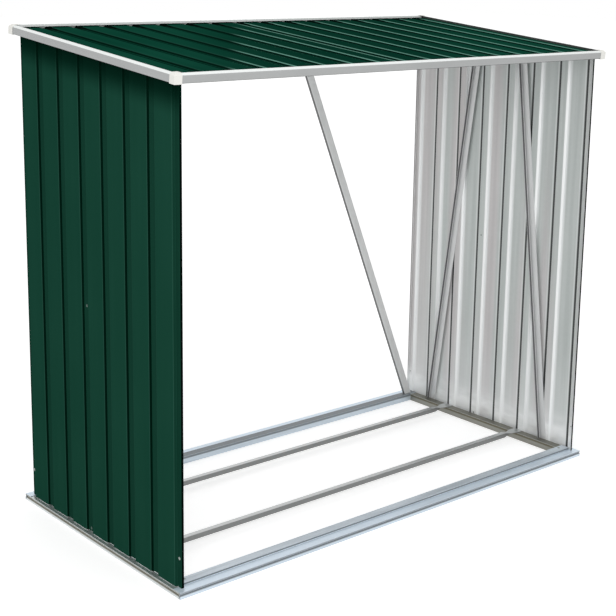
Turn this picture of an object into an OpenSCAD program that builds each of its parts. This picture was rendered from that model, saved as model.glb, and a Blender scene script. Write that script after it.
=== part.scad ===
// Log store: an open metal frame with two ribbed side walls under a sloping ribbed roof.
// Millimetres. X runs along the length, the low open front faces -Y, Z is up.
// The origin is on the ground at the middle of the overall box.

/* [Overall] */
// Length of the roof over its corner caps
roof_l = 1720; // [1640:10:1800]
// Depth of the roof over its corner caps, measured level
roof_d = 866; // [820:2:920]
// Height of the back edge of the roof above the ground
back_h = 1500; // [1400:10:1600]
// How much lower the front edge of the roof stands than the back edge
roof_fall = 82; // [60:2:100]
// How far the base frame stands in from the roof at the left and right
base_inset_x = 8; // [6:1:12]
// How far the base frame stands in from the roof at the front and back
base_inset_y = 2; // [1:1:6]

/* [Profiled sheets] */
// Thickness of the profiled sheet
sheet_t = 0.8; // [0.6:0.1:1.0]
// Depth of a groove in the sheet
groove_d = 6.6; // [6:0.2:9]
// Width of a groove at its floor
groove_floor = 26; // [20:1:32]
// Width of one sloping side of a groove
groove_side = 5; // [4:1:7]
// Number of flat pans in one side wall
wall_pans = 7; // [6:1:8]
// Width of the low strip at the upright edges of a wall
wall_edge = 19; // [15:1:24]
// Width of the lip turned in along the upright edges of a wall
wall_lip = 8; // [6:0.5:10]
// Distance of the upright edges of a wall in from the front and back of the base frame
wall_end = 20; // [17:1:26]
// Number of grooves across the whole roof, shared by two sheets
roof_grooves = 16; // [14:2:18]
// Width of the flat at the left edge of the roof
roof_left_flat = 86; // [76:2:96]
// Width of the flat at the right edge of the roof
roof_right_flat = 45; // [36:1:54]
// How far each roof sheet reaches past the middle of the groove where the two lap
roof_lap = 9; // [6:1:10]

/* [Base frame] */
// Thickness of the base rail metal
rail_t = 1.2; // [1.0:0.1:1.4]
// Height of the outer ledge of a base rail
ledge_h = 20; // [18:1:24]
// Width of the outer ledge of a front or back rail
long_ledge_w = 34; // [31:1:40]
// Width of the outer ledge of a side rail, up to the inside of the wall
side_ledge_w = 20; // [18:1:23]
// Height of the step from the ledge up to the inner flange
step_h = 6; // [5:1:8]
// Width of the inner flange of a base rail
flange_w = 32; // [29:1:38]
// Width of the foot turned in under the outer face
foot_w = 14; // [10:1:18]
// Depth of the bead rolled along the outer face
bead_d = 4; // [2:0.5:4.5]
// Distance of the middle of the bead below the outer ledge
bead_drop = 6.6; // [6.2:0.2:9]
// Height of the bead along the outer face
bead_h = 8; // [6:0.5:8.5]

/* [Floor rails] */
// Distance of the front floor rail in front of the middle
floor_front_y = 165; // [140:5:190]
// Distance of the back floor rail behind the middle
floor_back_y = 185; // [160:5:205]
// Width of a floor rail
floor_w = 18; // [15:1:22]
// Height of the side walls of a floor rail
floor_h = 16; // [14:1:20]
// How far the top of a floor rail stands above its flattened ends
floor_crown = 6; // [4:1:8]
// Width of the flattened end
floor_tab_w = 38; // [34:1:44]
// Length over which a floor rail is flattened before it meets the side rail
floor_flatten = 52; // [45:1:60]

/* [Roof frame] */
// Thickness of the top rail metal
top_t = 1.2; // [1.0:0.1:1.4]
// Width of the level flange of a top rail
top_w = 60; // [56:1:64]
// Depth of the hanging flange of a front or back top rail
top_drop = 12; // [8:1:14]
// Depth of the hanging flange of a side top rail, outside the wall
side_drop = 6; // [4:1:7]

/* [Roof trim] */
// Thickness of the roof trim
trim_t = 1.0; // [0.8:0.1:1.2]
// Height of the roof trim
trim_h = 26; // [26:1:32]
// Width of the lip over the sheet
trim_lip = 12; // [11:1:13]
// Size of the slanted upper edge of the trim
trim_bevel = 5.5; // [4:0.5:6]
// Height of the inner edge that is turned down on to the sheet
trim_inner = 7; // [6.5:0.5:8]
// Width of the return under the trim
trim_return = 7; // [5:1:8]
// Wall thickness of a corner cap
cap_t = 1.6; // [1.4:0.1:2.0]
// Length of a corner cap along each trim
cap_l = 24; // [20:1:25]

/* [Braces] */
// Width of the broad leg of a brace
brace_w = 29; // [25:1:33]
// Depth of the narrow leg of a brace
brace_leg = 12; // [10:1:14]
// Thickness of the brace metal
brace_t = 1.2; // [1.0:0.1:1.4]
// Distance of a wall brace foot in from the upright edge of the wall
wall_brace_in = 132; // [116:2:148]
// Distance of a wall brace top from the middle of the wall
wall_brace_top = 95; // [60:5:120]
// Distance of the back brace foot in from the inner face of the right wall
back_brace_in = 36; // [26:1:46]
// Distance of the back brace from the middle of the store at the height of the back edge
back_brace_top = 184; // [160:4:260]
// Distance of the face of the back brace in front of the step of the back rail
back_brace_inset = 20; // [17:1:22]

/* [Fits] */
// Clearance where one folded piece passes the end of another
fit = 0.3; // [0.2:0.05:0.5]
// Clearance of a corner cap over the trims
cap_fit = 0.2; // [0.1:0.05:0.3]

/* [Hidden] */
far = 4000;

// base frame
base_l = roof_l - 2 * base_inset_x;
base_d = roof_d - 2 * base_inset_y;
long_w = long_ledge_w + flange_w;
side_w = side_ledge_w + flange_w;
front_top = ledge_h + step_h;
side_ledge = ledge_h - rail_t;
side_top = front_top - rail_t;

// walls
groove_w = groove_floor + 2 * groove_side;
wall_in = base_l / 2 - side_ledge_w;
wall_out = wall_in + groove_d + sheet_t;
wall_d = base_d - 2 * wall_end;
wall_pitch = (wall_d - 2 * wall_edge - 2 * groove_side + groove_w) / wall_pans;

// corner caps: how far they stand out from the trims, their height and their slanted edge
function slant(out) = trim_bevel + out * (2 - sqrt(2));
cap_out = cap_t + cap_fit;
cap_h = trim_h + 2 * cap_out;
cap_slant = slant(cap_out);

// roof slope, from the fall and the level depth over the caps
roof_angle = atan(roof_fall / (roof_d - (cap_h - cap_slant) * sin(atan(roof_fall / roof_d))));
roof_run = roof_fall / sin(roof_angle);

// levels inside the roof, measured down from the top of the caps
trim_z = -cap_out;
sheet_z = trim_z - trim_inner;
beam_z = sheet_z - groove_d - sheet_t;
side_z = beam_z - top_t;
wall_z = side_z - top_t;

// outlines inside the roof
trim_x = roof_l / 2 - cap_out;
trim_y = roof_run / 2 - cap_out;
inner_x = trim_x - trim_t - fit;
inner_y = trim_y - trim_t - fit;
roof_pitch = (2 * inner_x - roof_left_flat - roof_right_flat - groove_w) / (roof_grooves - 1);
lap_groove = roof_grooves / 2 - 1;
lap_s = roof_left_flat + lap_groove * roof_pitch;

galvanised = [0.72, 0.74, 0.75];
green = [0.09, 0.26, 0.20];
pale_trim = [0.82, 0.83, 0.83];
white_cap = [0.94, 0.94, 0.92];

// Folded metal: the outer face is a path, and the metal lies on its right hand side.
function side_of(a, b) = [b[1] - a[1], a[0] - b[0]] / norm(b - a);

function inset_point(p, i, t) =
    let (n = len(p) - 1)
    let (before = side_of(p[max(i - 1, 0)], p[max(i, 1)]))
    let (after = side_of(p[min(i, n - 1)], p[min(i + 1, n)]))
    p[i] + t * (before + after) / (1 + before * after);

module folded(path, t) {
    n = len(path) - 1;
    polygon(concat(path, [for (i = [0 : n]) inset_point(path, n - i, t)]));
}

// Groove in a sheet, starting at s and going down by depth.
function groove(s) = [
    [s, 0],
    [s + groove_side, -groove_d],
    [s + groove_side + groove_floor, -groove_d],
    [s + groove_w, 0]];

function flatten_list(lists) = [for (l = lists) for (p = l) p];

// Places work in the sloping roof, whose top is at level 0 there.
module on_roof() {
    back = (cap_h + cap_slant) * sin(roof_angle) / 2;
    middle = back_h - roof_fall / 2 + cap_slant * sin(roof_angle);
    translate([0, -back, middle])
        rotate([roof_angle, 0, 0])
            children();
}

// Everything above a level inside the roof.
module above_roof_level(z) {
    on_roof()
        translate([-far / 2, -far / 2, z])
            cube([far, far, far]);
}

// Base rail section: u runs inward from the outer face, v runs up.
module rail_section(ledge_w, ledge, top) {
    bead = ledge - bead_drop;
    folded([
        [foot_w, 0],
        [0, 0],
        [0, bead - bead_h / 2],
        [bead_d, bead],
        [0, bead + bead_h / 2],
        [0, ledge],
        [ledge_w, ledge],
        [ledge_w, top],
        [ledge_w + flange_w, top],
        [ledge_w + flange_w, 0]], rail_t);
}

// Cuts one end of a rail away from a distance on, inside a box of the section.
module end_cuts(from, u0, u1, v0, v1) {
    for (end = [-1, 1])
        translate([end * (from + far / 2), (u0 + u1) / 2, (v0 + v1) / 2])
            cube([far, u1 - u0, v1 - v0], center = true);
}

// Front or back rail, drawn as the front one, lying over the ends of the side rails.
module long_rail() {
    color(galvanised)
        translate([0, -base_d / 2, 0])
            difference() {
                rotate([90, 0, 90])
                    linear_extrude(height = base_l, center = true)
                        rail_section(long_ledge_w, ledge_h, front_top);
                // ledge alone runs on under the wall
                end_cuts(wall_in - fit, long_ledge_w, far, -far, far);
                // inner lip stops at the inner lip of the side rail
                end_cuts(base_l / 2 - side_w - fit, long_w - rail_t, far, -far, side_top);
                // foot stops inside the outer face of the side rail
                end_cuts(base_l / 2 - rail_t - bead_d - fit, rail_t, long_ledge_w, -far, rail_t);
            }
}

// Left or right rail, drawn as the right one, its ends tucked under the long rails.
module short_rail() {
    color(galvanised)
        translate([base_l / 2, 0, 0])
            rotate([0, 0, 90])
                difference() {
                    rotate([90, 0, 90])
                        linear_extrude(
                            height = base_d - 2 * (rail_t + bead_d + fit), center = true)
                            rail_section(side_ledge_w, side_ledge, side_top);
                    // inner lip stops at the inner lip of the long rail
                    end_cuts(base_d / 2 - long_w - fit, side_w - rail_t, far, -far,
                        side_top - rail_t);
                    // step and flange stop behind the step of the long rail
                    end_cuts(base_d / 2 - long_ledge_w - rail_t - fit, side_ledge_w, far,
                        -far, far);
                    // foot stops behind the foot of the long rail
                    end_cuts(base_d / 2 - foot_w - fit, rail_t, side_ledge_w, -far, rail_t);
                }
}

module base_rail_front() {
    long_rail();
}

module base_rail_back() {
    mirror([0, 1, 0])
        long_rail();
}

module base_rail_left() {
    mirror([1, 0, 0])
        short_rail();
}

module base_rail_right() {
    short_rail();
}

// Floor rail: an upturned channel whose flattened ends lie on the side rails.
module floor_rail() {
    tab_end = wall_in - rail_t;
    lip = base_l / 2 - side_w;
    bend = lip - floor_flatten;
    crown = side_top + rail_t + floor_crown;
    tab = side_top + rail_t;
    flat = bend + floor_flatten / 2;
    color(galvanised) {
        // top, bent down to the flattened ends
        rotate([90, 0, 0])
            linear_extrude(height = floor_w, center = true)
                folded([[-flat, tab], [-bend, crown], [bend, crown], [flat, tab]], rail_t);
        // side walls, running out where the rail is flattened
        for (y = [-1, 1])
            translate([0, y * (floor_w - rail_t) / 2, 0])
                rotate([90, 0, 0])
                    linear_extrude(height = rail_t, center = true)
                        polygon([
                            [-bend, crown - floor_h],
                            [bend, crown - floor_h],
                            [flat, tab - rail_t],
                            [bend, crown - rail_t],
                            [-bend, crown - rail_t],
                            [-flat, tab - rail_t]]);
        // flattened ends
        for (end = [-1, 1])
            scale([end, 1, 1])
                translate([0, 0, side_top])
                    linear_extrude(height = rail_t)
                        polygon([
                            [flat - rail_t, -floor_w / 2],
                            [flat, -floor_w / 2],
                            [lip - rail_t, -floor_tab_w / 2],
                            [tab_end, -floor_tab_w / 2],
                            [tab_end, floor_tab_w / 2],
                            [lip - rail_t, floor_tab_w / 2],
                            [flat, floor_w / 2],
                            [flat - rail_t, floor_w / 2]]);
    }
}

module floor_rail_front() {
    translate([0, -floor_front_y, 0])
        floor_rail();
}

module floor_rail_back() {
    translate([0, floor_back_y, 0])
        floor_rail();
}

// Side wall, drawn as the left one: one profiled sheet cut to the roof slope. Its ends stand on
// the ledges of the long rails and its inside lies against the step of the side rail.
module wall_sheet() {
    first = wall_edge + groove_side;
    pan = wall_pitch - groove_w;
    path = concat(
        [[0, -groove_d - wall_lip], [0, -groove_d], [wall_edge, -groove_d], [first, 0]],
        flatten_list([for (i = [0 : wall_pans - 2]) groove(first + pan + i * wall_pitch)]),
        [[wall_d - first, 0],
            [wall_d - wall_edge, -groove_d],
            [wall_d, -groove_d],
            [wall_d, -groove_d - wall_lip]]);
    color(green)
        difference() {
            translate([-wall_out, -wall_d / 2, ledge_h])
                rotate([0, 0, 90])
                    linear_extrude(height = back_h)
                        folded(path, sheet_t);
            above_roof_level(wall_z);
        }
}

module wall_left() {
    wall_sheet();
}

module wall_right() {
    mirror([1, 0, 0])
        wall_sheet();
}

// Angle section of a brace: broad leg along v, narrow leg along u at the high end of v.
module brace_section() {
    folded([
        [0, -brace_w / 2],
        [0, brace_w / 2],
        [brace_leg, brace_w / 2]], brace_t);
}

// Wall brace, drawn on the left wall between a foot and a top along the wall.
module wall_brace(foot_y, top_y) {
    top_guess = back_h - roof_fall / 2;
    lean = atan((top_y - foot_y) / (top_guess - side_top));
    color(galvanised)
        difference() {
            translate([-wall_in, foot_y, side_top])
                rotate([-lean, 0, 0])
                    translate([0, 0, -brace_w])
                        linear_extrude(height = back_h + brace_w)
                            brace_section();
            above_roof_level(wall_z);
            translate([-far / 2, -far / 2, side_top - far])
                cube([far, far, far]);
        }
}

module wall_brace_left_front() {
    wall_brace(wall_brace_in - wall_d / 2, -wall_brace_top);
}

module wall_brace_left_back() {
    wall_brace(wall_d / 2 - wall_brace_in, wall_brace_top);
}

module wall_brace_right_front() {
    mirror([1, 0, 0])
        wall_brace_left_front();
}

module wall_brace_right_back() {
    mirror([1, 0, 0])
        wall_brace_left_back();
}

// Back brace, from the right end of the back rail up to the back top rail, its narrow leg turned
// to the back.
module back_brace() {
    foot_x = wall_in - back_brace_in;
    foot_y = base_d / 2 - long_ledge_w - rail_t - back_brace_inset;
    lean = atan((foot_x - back_brace_top) / (back_h - front_top));
    color(galvanised)
        difference() {
            translate([foot_x, foot_y, front_top])
                rotate([0, -lean, 0])
                    translate([0, 0, -brace_w])
                        rotate([0, 0, 90])
                            linear_extrude(height = back_h / cos(lean) + brace_w)
                                brace_section();
            above_roof_level(side_z);
            translate([-far / 2, -far / 2, front_top - far])
                cube([far, far, far]);
        }
}

// Front or back top rail, drawn as the front one, carrying the roof sheets.
module long_top_rail() {
    color(galvanised) {
        translate([-inner_x, -inner_y, beam_z - top_t])
            cube([2 * inner_x, top_w, top_t]);
        translate([-(inner_x - top_w - fit), top_w - inner_y - top_t, beam_z - top_t - top_drop])
            cube([2 * (inner_x - top_w - fit), top_t, top_drop]);
    }
}

// Left or right top rail, drawn as the left one, capping the top of a wall.
module short_top_rail() {
    color(galvanised) {
        translate([-inner_x, -inner_y, side_z - top_t])
            cube([top_w, 2 * inner_y, top_t]);
        translate([-wall_out - top_t, -inner_y, side_z - top_t - side_drop])
            cube([top_t, 2 * inner_y, side_drop]);
    }
}

module top_rail_front() {
    on_roof()
        long_top_rail();
}

module top_rail_back() {
    on_roof()
        mirror([0, 1, 0])
            long_top_rail();
}

module top_rail_left() {
    on_roof()
        short_top_rail();
}

module top_rail_right() {
    on_roof()
        mirror([1, 0, 0])
            short_top_rail();
}

// Grooves of the roof from one number to another, counted from the left.
function roof_run_of_grooves(first, last) =
    flatten_list([for (i = [first : last]) groove(roof_left_flat + i * roof_pitch)]);

// One roof sheet from its section, which starts at the left edge of the roof.
module roof_sheet(path) {
    color(green)
        on_roof()
            translate([-inner_x, inner_y, sheet_z])
                rotate([90, 0, 0])
                    linear_extrude(height = 2 * inner_y)
                        folded(path, sheet_t);
}

// The left sheet ends on the floor of the lap groove.
module roof_sheet_left() {
    roof_sheet(concat(
        [[0, 0]],
        roof_run_of_grooves(0, lap_groove - 1),
        [[lap_s, 0],
            [lap_s + groove_side, -groove_d],
            [lap_s + groove_w / 2 + roof_lap, -groove_d]]));
}

// The right sheet starts on top of the left one in the lap groove.
module roof_sheet_right() {
    low = groove_d - sheet_t;
    rise = groove_side * low / groove_d;
    roof_sheet(concat(
        [[lap_s + groove_w / 2 - roof_lap, -low],
            [lap_s + groove_w - rise, -low],
            [lap_s + groove_w, 0]],
        roof_run_of_grooves(lap_groove + 1, roof_grooves - 1),
        [[2 * inner_x, 0]]));
}

// Roof trim section: u runs inward from the outer face, v runs down from the top.
module trim_section() {
    folded([
        [trim_return, -trim_h],
        [0, -trim_h],
        [0, -trim_bevel],
        [trim_bevel, 0],
        [trim_lip, 0],
        [trim_lip, -trim_inner]], trim_t);
}

// Front or back trim, drawn as the front one, ending inside the slanted sides of the caps.
module long_trim() {
    color(pale_trim)
        translate([0, -trim_y, trim_z])
            rotate([90, 0, 90])
                linear_extrude(height = 2 * (trim_x - trim_bevel), center = true)
                    trim_section();
}

// Left or right trim, drawn as the left one, between the lips of the long trims.
module short_trim() {
    color(pale_trim)
        translate([-trim_x, 0, trim_z])
            rotate([90, 0, 0])
                linear_extrude(height = 2 * (trim_y - trim_lip - fit), center = true)
                    trim_section();
}

module roof_trim_front() {
    on_roof()
        long_trim();
}

module roof_trim_back() {
    on_roof()
        mirror([0, 1, 0])
            long_trim();
}

module roof_trim_left() {
    on_roof()
        short_trim();
}

module roof_trim_right() {
    on_roof()
        mirror([1, 0, 0])
            short_trim();
}

// Filled corner where two runs of the trim outline meet, grown outward by out.
module corner_block(out) {
    h = trim_h + 2 * out;
    bevel = slant(out);
    outline = [[0, -h], [0, -bevel], [bevel, 0], [cap_l, 0], [cap_l, -h]];
    intersection() {
        rotate([90, 0, 90])
            linear_extrude(height = cap_l)
                polygon(outline);
        translate([0, cap_l, 0])
            rotate([90, 0, 0])
                linear_extrude(height = cap_l)
                    polygon(outline);
    }
}

// Corner cap, drawn at the front left: a sleeve over both trims, open towards the roof.
module corner_cap() {
    color(white_cap)
        translate([-roof_l / 2, -roof_run / 2, 0])
            difference() {
                corner_block(cap_out);
                translate([cap_t, cap_t, -cap_t])
                    corner_block(cap_fit);
            }
}

module roof_cap_front_left() {
    on_roof()
        corner_cap();
}

module roof_cap_front_right() {
    on_roof()
        mirror([1, 0, 0])
            corner_cap();
}

module roof_cap_back_left() {
    on_roof()
        mirror([0, 1, 0])
            corner_cap();
}

module roof_cap_back_right() {
    on_roof()
        mirror([1, 0, 0])
            mirror([0, 1, 0])
                corner_cap();
}

base_rail_front();
base_rail_back();
base_rail_left();
base_rail_right();
floor_rail_front();
floor_rail_back();
wall_left();
wall_right();
wall_brace_left_front();
wall_brace_left_back();
wall_brace_right_front();
wall_brace_right_back();
back_brace();
top_rail_front();
top_rail_back();
top_rail_left();
top_rail_right();
roof_sheet_left();
roof_sheet_right();
roof_trim_front();
roof_trim_back();
roof_trim_left();
roof_trim_right();
roof_cap_front_left();
roof_cap_front_right();
roof_cap_back_left();
roof_cap_back_right();
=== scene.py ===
"""Looks of an open metal log store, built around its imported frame.

The folded pieces are copies of the frame's nodes with rounded bends, so that the sheets can
be lacquered on the outside and bare zinc on the inside. Lengths are in metres.
"""

import logging
import math
from abc import ABC, abstractmethod
from dataclasses import dataclass, field
from enum import Enum
from typing import Any

import bmesh
import bpy
from mathutils import Matrix, Vector


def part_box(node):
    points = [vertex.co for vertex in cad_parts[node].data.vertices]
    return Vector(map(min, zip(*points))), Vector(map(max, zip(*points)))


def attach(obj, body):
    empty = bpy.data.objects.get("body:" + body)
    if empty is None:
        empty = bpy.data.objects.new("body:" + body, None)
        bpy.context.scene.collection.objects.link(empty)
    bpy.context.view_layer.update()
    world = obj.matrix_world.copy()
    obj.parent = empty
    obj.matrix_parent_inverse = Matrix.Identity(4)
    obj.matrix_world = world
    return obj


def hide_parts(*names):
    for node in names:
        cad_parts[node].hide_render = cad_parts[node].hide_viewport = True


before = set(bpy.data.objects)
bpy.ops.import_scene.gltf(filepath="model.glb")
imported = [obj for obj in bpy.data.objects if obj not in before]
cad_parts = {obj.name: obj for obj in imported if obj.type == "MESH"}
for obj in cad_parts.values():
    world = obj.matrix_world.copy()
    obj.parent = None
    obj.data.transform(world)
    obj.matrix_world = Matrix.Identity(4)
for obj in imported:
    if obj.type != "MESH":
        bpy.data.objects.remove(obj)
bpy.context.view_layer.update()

log = logging.getLogger("log_store")

BODY = "root"
PHOTO_SIDE = 616.0
FAR = 9.0  # further out than any place on the part
MERGE = 1e-5  # places closer together than this are one
TOUCH = 1e-4  # faces closer together than this lie in one plane

Colour = tuple[float, float, float]
Point = tuple[float, float, float]

UP: Point = (0.0, 0.0, 1.0)
DOWN: Point = (0.0, 0.0, -1.0)
LEFT: Point = (-1.0, 0.0, 0.0)
RIGHT: Point = (1.0, 0.0, 0.0)
FRONT: Point = (0.0, -1.0, 0.0)
BACK: Point = (0.0, 1.0, 0.0)


class Slot(Enum):
    """Material slots of the record."""

    ZINC = "galvanised"
    LACQUER = "green_lacquer"
    TRIM = "pale_trim"
    CAP = "white_cap"


class Mark(Enum):
    """Mesh attributes that the finishes read."""

    # marks groove faces, and a base rail's inner lip, that take painted shade
    GROOVE = "groove"
    # marks bends near the outermost face, that take wear and painted highlight
    FOLD = "fold"
    # marks faces that take painted shade, and screws that take green paint
    SHADE_AND_PAINT = "shade_and_paint"
    # marks faces that take a painted highlight
    SHINE = "shine"
    OUTSIDE = "outside"
    AXIS = "axis"


class Value:
    """A number socket of a shader that works in Python expressions."""

    def __init__(self, graph: "Graph", socket: bpy.types.NodeSocket) -> None:
        """Wraps an output socket of a graph."""
        self.graph = graph
        self.socket = socket

    def _math(self, operation: str, first: Any, second: Any) -> "Value":
        """Result of a Math node on two numbers or values."""
        return self.graph.node("ShaderNodeMath", {"operation": operation}, {0: first, 1: second})

    def __add__(self, other: Any) -> "Value":
        """Sum."""
        return self._math("ADD", self, other)

    def __radd__(self, other: Any) -> "Value":
        """Sum with a number on the left."""
        return self._math("ADD", other, self)

    def __sub__(self, other: Any) -> "Value":
        """Difference."""
        return self._math("SUBTRACT", self, other)

    def __rsub__(self, other: Any) -> "Value":
        """Difference from a number on the left."""
        return self._math("SUBTRACT", other, self)

    def __mul__(self, other: Any) -> "Value":
        """Product."""
        return self._math("MULTIPLY", self, other)

    def __rmul__(self, other: Any) -> "Value":
        """Product with a number on the left."""
        return self._math("MULTIPLY", other, self)

    def __mod__(self, other: Any) -> "Value":
        """Remainder that is never negative."""
        return self._math("FLOORED_MODULO", self, other)

    def __rmod__(self, other: Any) -> "Value":
        """Remainder of a number on the left."""
        return self._math("FLOORED_MODULO", other, self)

    def clamp(self) -> "Value":
        """The value held between 0 and 1."""
        return self.graph.node("ShaderNodeClamp", {}, {"Value": self})


class Graph:
    """A node tree that is filled by calls."""

    def __init__(self, tree: bpy.types.NodeTree) -> None:
        """Empties a shader or geometry tree for use."""
        self.tree = tree
        tree.nodes.clear()

    def node(
        self,
        kind: str,
        settings: dict[str, Any] | None = None,
        inputs: dict[int | str, Any] | None = None,
        output: int | str = 0,
    ) -> Value:
        """Adds a node of any type.

        Args:
            kind: the node's type name.
            settings: properties that are set first; "stops" are a ramp's places and colours.
            inputs: numbers, colours or values for its sockets, by name or place.
            output: the socket that is returned.

        Returns:
            The chosen output, which also reaches the node itself through its socket.
        """
        made = self.tree.nodes.new(kind)
        for name, setting in (settings or {}).items():
            if name == "stops":
                self._set_stops(made.color_ramp, setting)
            else:
                setattr(made, name, setting)
        for key, value in (inputs or {}).items():
            socket = made.inputs[key]
            if isinstance(value, Value):
                self.tree.links.new(value.socket, socket)
            elif isinstance(value, tuple) and len(value) == 3 and socket.type == "RGBA":
                socket.default_value = (*value, 1.0)
            else:
                socket.default_value = value
        return Value(self, made.outputs[output] if made.outputs else None)

    @staticmethod
    def _set_stops(ramp: bpy.types.ColorRamp, stops: list[tuple[float, Colour]]) -> None:
        """Gives a ramp its stops.

        Args:
            ramp: the ramp of a Color Ramp node.
            stops: places and colours, in order.
        """
        while len(ramp.elements) < len(stops):
            ramp.elements.new(1.0)
        for element, (place, colour) in zip(ramp.elements, stops):
            element.position = place
            element.color = (*colour, 1.0)


class Paint(Graph):
    """The shader of one finish, with the patterns that the finishes share."""

    def __init__(self, name: str) -> None:
        """Makes an empty material.

        Args:
            name: the material's name.
        """
        self.material = bpy.data.materials.new(name)
        self.material.use_nodes = True
        super().__init__(self.material.node_tree)
        self.place = self.node("ShaderNodeTexCoord", output="Object")

    def stretched(self, scale: Point) -> Value:
        """The surface's place, with pattern repeats for each metre along X, Y and Z."""
        return self.node("ShaderNodeMapping", {}, {"Vector": self.place, "Scale": scale})

    def noise(self, scale: Point, detail: float = 3.0) -> Value:
        """Soft noise from 0 to 1.

        Args:
            scale: spots for each metre along X, Y and Z.
            detail: how many finer layers it has.

        Returns:
            The noise.
        """
        return self.node(
            "ShaderNodeTexNoise",
            {},
            {"Vector": self.stretched(scale), "Scale": 1.0, "Detail": detail},
            "Fac",
        )

    def spangle(self, per_metre: float) -> Value:
        """A random tone from 0 to 1 for each crystal of zinc.

        Args:
            per_metre: crystals along a metre.

        Returns:
            The tone.
        """
        cells = self.node(
            "ShaderNodeTexVoronoi", {}, {"Vector": self.place, "Scale": per_metre}, "Color"
        )
        return self.node("ShaderNodeSeparateColor", {}, {"Color": cells}, "Red")

    def mark(self, mark: Mark) -> Value:
        """A mesh attribute, 0 where a mesh has none."""
        return self.node("ShaderNodeAttribute", {"attribute_name": mark.value}, {}, "Fac")

    def axis(self, name: str) -> Value:
        """The X, Y or Z of the surface's place in metres."""
        return self.node("ShaderNodeSeparateXYZ", {}, {"Vector": self.place}, name)

    def ramp(self, value: Value, start: float, end: float, first: float, last: float) -> Value:
        """A smooth change from one number to another.

        Args:
            value: what it follows.
            start: the value where it starts.
            end: the value where it ends.
            first: the number up to the start.
            last: the number from the end on.

        Returns:
            The changed number.
        """
        return self.node(
            "ShaderNodeMapRange",
            {"interpolation_type": "SMOOTHSTEP"},
            {0: value, 1: start, 2: end, 3: first, 4: last},
        )

    def blend(self, share: Any, first: Any, second: Any) -> Value:
        """A colour between two.

        Args:
            share: 0 for the first, 1 for the second.
            first: a colour.
            second: a colour.

        Returns:
            The mixed colour.
        """
        return self.node(
            "ShaderNodeMix",
            {"data_type": "RGBA", "clamp_factor": True},
            {0: share, 6: first, 7: second},
            2,
        )

    def bump(self, height: Value, distance: float, strength: float) -> Value:
        """A bumped normal.

        Args:
            height: the relief from 0 to 1.
            distance: its depth in metres.
            strength: how much of it shows.

        Returns:
            The normal.
        """
        return self.node(
            "ShaderNodeBump",
            {},
            {"Height": height, "Distance": distance, "Strength": strength},
        )

    def surface(self, inputs: dict[str, Any]) -> bpy.types.Material:
        """Closes the shader.

        Args:
            inputs: values for the Principled shader's sockets.

        Returns:
            The finished material.
        """
        shader = self.node("ShaderNodeBsdfPrincipled", {}, inputs)
        self.node("ShaderNodeOutputMaterial", {}, {"Surface": shader})
        return self.material


@dataclass(frozen=True)
class Finish(ABC):
    """A named finish that makes its material."""

    name: str

    @abstractmethod
    def material(self) -> bpy.types.Material:
        """Makes the finish's material."""


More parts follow.
